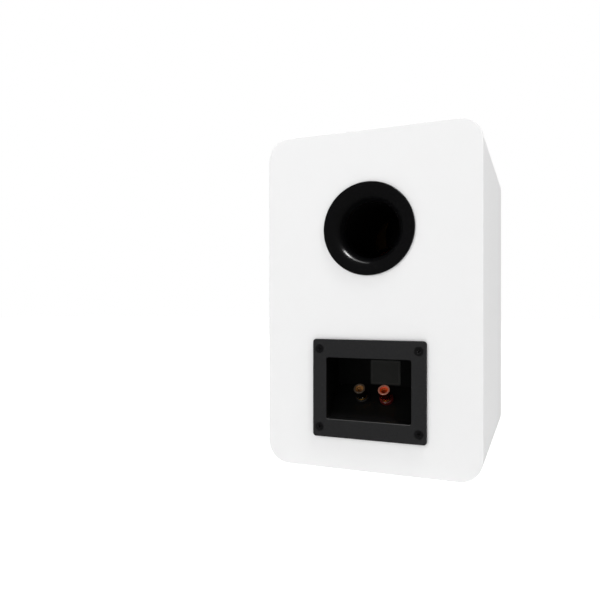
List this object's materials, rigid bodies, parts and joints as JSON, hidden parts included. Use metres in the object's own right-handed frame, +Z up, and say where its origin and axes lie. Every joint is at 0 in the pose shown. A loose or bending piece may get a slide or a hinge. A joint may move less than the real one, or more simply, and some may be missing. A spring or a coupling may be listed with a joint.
{
  "type": "bookshelf loudspeaker",
  "caption": "White passive two-way bookshelf speaker with rounded long edges, a round rear port and a recessed terminal cup with screw-down binding posts.",
  "frame": {"origin": "centre of the bounding box in X and Y, on the surface the speaker stands on", "axes": "+X to the right seen from the front, +Y towards the rear panel with the port and terminals, +Z up; the front baffle faces -Y"},
  "size_m": [0.172, 0.208, 0.268],
  "materials": {
    "white_lacquer": "smooth white lacquer on fibreboard",
    "port_plastic": "gloss black moulding",
    "tube_plastic": "plain black tube",
    "cup_plastic": "grained black flange, glossy pocket",
    "foam": "closed-cell foam",
    "black_screw": "black oxide",
    "label_paper": "dull grey print",
    "gold_plated": "gold plated",
    "clear_red": "clear red",
    "clear_smoke": "clear smoke brown",
    "insulator_plastic": "black nylon",
    "plated_steel": "zinc plated",
    "tinned_brass": "tinned",
    "basket_steel": "black powder coat",
    "trim_plastic": "satin black",
    "surround_rubber": "butyl rubber",
    "cone_poly": "black filled polypropylene",
    "former_foil": "thin foil",
    "copper_wire": "enamelled copper",
    "spider_cloth": "resin-dipped cloth",
    "magnet_ferrite": "ferrite",
    "dome_silk": "coated silk",
    "wadding_felt": "white polyester wadding",
    "board_laminate": "brown laminate",
    "bobbin_nylon": "black nylon",
    "capacitor_film": "yellow film wrap",
    "resistor_cement": "white cement",
    "wire_red": "red insulation",
    "wire_black": "black insulation"
  },
  "bodies": {
    "cabinet": {"top_panel": "white_lacquer", "bottom_panel": "white_lacquer", "left_panel": "white_lacquer", "right_panel": "white_lacquer", "corner_blocks": "white_lacquer", "front_baffle": "white_lacquer", "rear_panel": "white_lacquer", "wadding_pads": "wadding_felt", "port_flare": "port_plastic", "port_tube": "tube_plastic", "terminal_cup": "cup_plastic", "terminal_gasket": "foam", "terminal_screws": "black_screw", "rating_label": "label_paper", "post_shaft_positive": "gold_plated", "post_shaft_negative": "gold_plated", "post_collar_positive": "clear_red", "post_collar_negative": "clear_smoke", "post_bushings": "insulator_plastic", "post_nuts": "plated_steel", "post_solder_tabs": "tinned_brass", "woofer_basket": "basket_steel", "woofer_gasket": "foam", "woofer_trim_ring": "trim_plastic", "woofer_screws": "black_screw", "woofer_surround": "surround_rubber", "woofer_spider": "spider_cloth", "woofer_top_plate": "plated_steel", "woofer_magnet": "magnet_ferrite", "woofer_yoke": "plated_steel", "woofer_terminal_strip": "tinned_brass", "woofer_tinsel_leads": "tinned_brass", "tweeter_faceplate": "trim_plastic", "tweeter_gasket": "foam", "tweeter_screws": "black_screw", "tweeter_surround": "dome_silk", "tweeter_top_plate": "plated_steel", "tweeter_magnet": "magnet_ferrite", "tweeter_yoke": "plated_steel", "tweeter_terminals": "tinned_brass", "crossover_board": "board_laminate", "crossover_fixings": "plated_steel", "inductor_bobbins": "bobbin_nylon", "inductor_windings": "copper_wire", "crossover_capacitors": "capacitor_film", "crossover_resistors": "resistor_cement", "wires_positive": "wire_red", "wires_negative": "wire_black"},
    "woofer_cone_assembly": {"woofer_cone": "cone_poly", "woofer_dust_cap": "cone_poly", "voice_coil_former": "former_foil", "voice_coil_winding": "copper_wire"},
    "tweeter_dome_assembly": {"tweeter_dome": "dome_silk", "tweeter_voice_coil": "copper_wire"},
    "washer_positive": {"clamp_washer_positive": "gold_plated"},
    "cap_positive": {"cap_nut_positive": "gold_plated", "cap_shell_positive": "clear_red"},
    "washer_negative": {"clamp_washer_negative": "gold_plated"},
    "cap_negative": {"cap_nut_negative": "gold_plated", "cap_shell_negative": "clear_smoke"}
  },
  "joints": [
    {"name": "woofer_cone_slide", "type": "slide", "parent": "cabinet", "child": "woofer_cone_assembly", "axis": [0, -1, 0], "range_m": [-0.005, 0.005], "stiffness_N_per_m": 1000, "deforming": ["woofer_surround", "woofer_spider", "woofer_tinsel_leads"]},
    {"name": "tweeter_dome_slide", "type": "slide", "parent": "cabinet", "child": "tweeter_dome_assembly", "axis": [0, -1, 0], "range_m": [-0.0003, 0.0003], "stiffness_N_per_m": 600, "deforming": ["tweeter_surround"]},
    {"name": "washer_positive_rise", "type": "slide", "parent": "cabinet", "child": "washer_positive", "axis": [0, 0.7431, 0.6691], "range_m": [0, 0.0056]},
    {"name": "cap_positive_turn", "type": "hinge", "parent": "washer_positive", "child": "cap_positive", "pos_m": [-0.01, 0.0823, 0.0546], "axis": [0, 0.7431, 0.6691], "range_deg": [0, 2520.01]},
    {"name": "washer_negative_rise", "type": "slide", "parent": "cabinet", "child": "washer_negative", "axis": [0, 0.7431, 0.6691], "range_m": [0, 0.0056]},
    {"name": "cap_negative_turn", "type": "hinge", "parent": "washer_negative", "child": "cap_negative", "pos_m": [0.01, 0.0823, 0.0546], "axis": [0, 0.7431, 0.6691], "range_deg": [0, 2520.01]}
  ],
  "couplings": [
    {"joint": "cap_positive_turn", "follows": "washer_positive_rise", "rad_per_m": 7854},
    {"joint": "cap_negative_turn", "follows": "washer_negative_rise", "rad_per_m": 7854}
  ]
}
